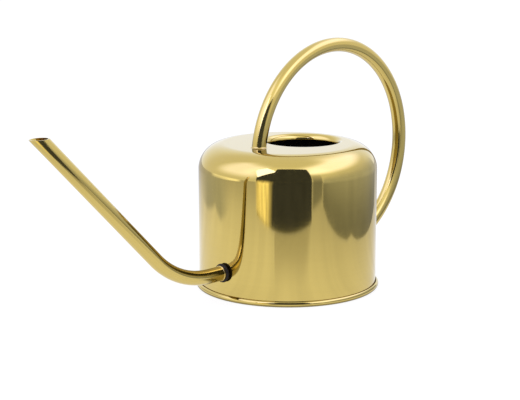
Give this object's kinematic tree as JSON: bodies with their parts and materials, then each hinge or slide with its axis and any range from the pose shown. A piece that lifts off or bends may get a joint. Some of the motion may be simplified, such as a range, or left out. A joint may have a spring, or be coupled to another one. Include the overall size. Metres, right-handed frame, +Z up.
{
  "type": "watering can",
  "caption": "Small brass watering can with a round body, flat top with an off-centre fill mouth, circular tube handle and long thin screw-in spout sealed by a black rubber ring.",
  "frame": {"origin": "on the can's axis, at the level of the surface that the can stands on", "axes": "+Z up along the can's axis, +X out along the spout, away from the handle"},
  "size_m": [0.3482, 0.129, 0.1711],
  "materials": {
    "satin_brass_body": "satin, brushed round the can",
    "satin_brass_base": "satin, bright on the rolled bead",
    "polished_brass_handle": "polished",
    "polished_brass_spout": "polished",
    "turned_brass": "bright, as turned",
    "braze_metal": "satin, cleaned braze",
    "black_rubber": "smooth, slightly glossy",
    "seam_compound": "matte"
  },
  "bodies": {
    "can": {"body_shell": "satin_brass_body", "base_pan": "satin_brass_base", "base_seam_seal": "seam_compound", "handle_tube": "polished_brass_handle", "handle_front_weld": "braze_metal", "handle_rear_weld": "braze_metal", "spout_socket": "turned_brass", "spout_socket_weld": "braze_metal"},
    "seal_ring": {"spout_o_ring": "black_rubber"},
    "spout": {"spout_tube": "polished_brass_spout", "spout_stud": "turned_brass"}
  },
  "joints": [
    {"name": "spout_travel", "type": "slide", "parent": "can", "child": "seal_ring", "axis": [1, 0, 0], "range_m": [0, 0.0075]},
    {"name": "spout_turn", "type": "hinge", "parent": "seal_ring", "child": "spout", "pos_m": [0.0625, 0, 0.0194], "axis": [1, 0, 0], "range_deg": [0, 2160]}
  ],
  "couplings": [
    {"joint": "spout_travel", "follows": "spout_turn", "m_per_rad": 0.00019894}
  ]
}
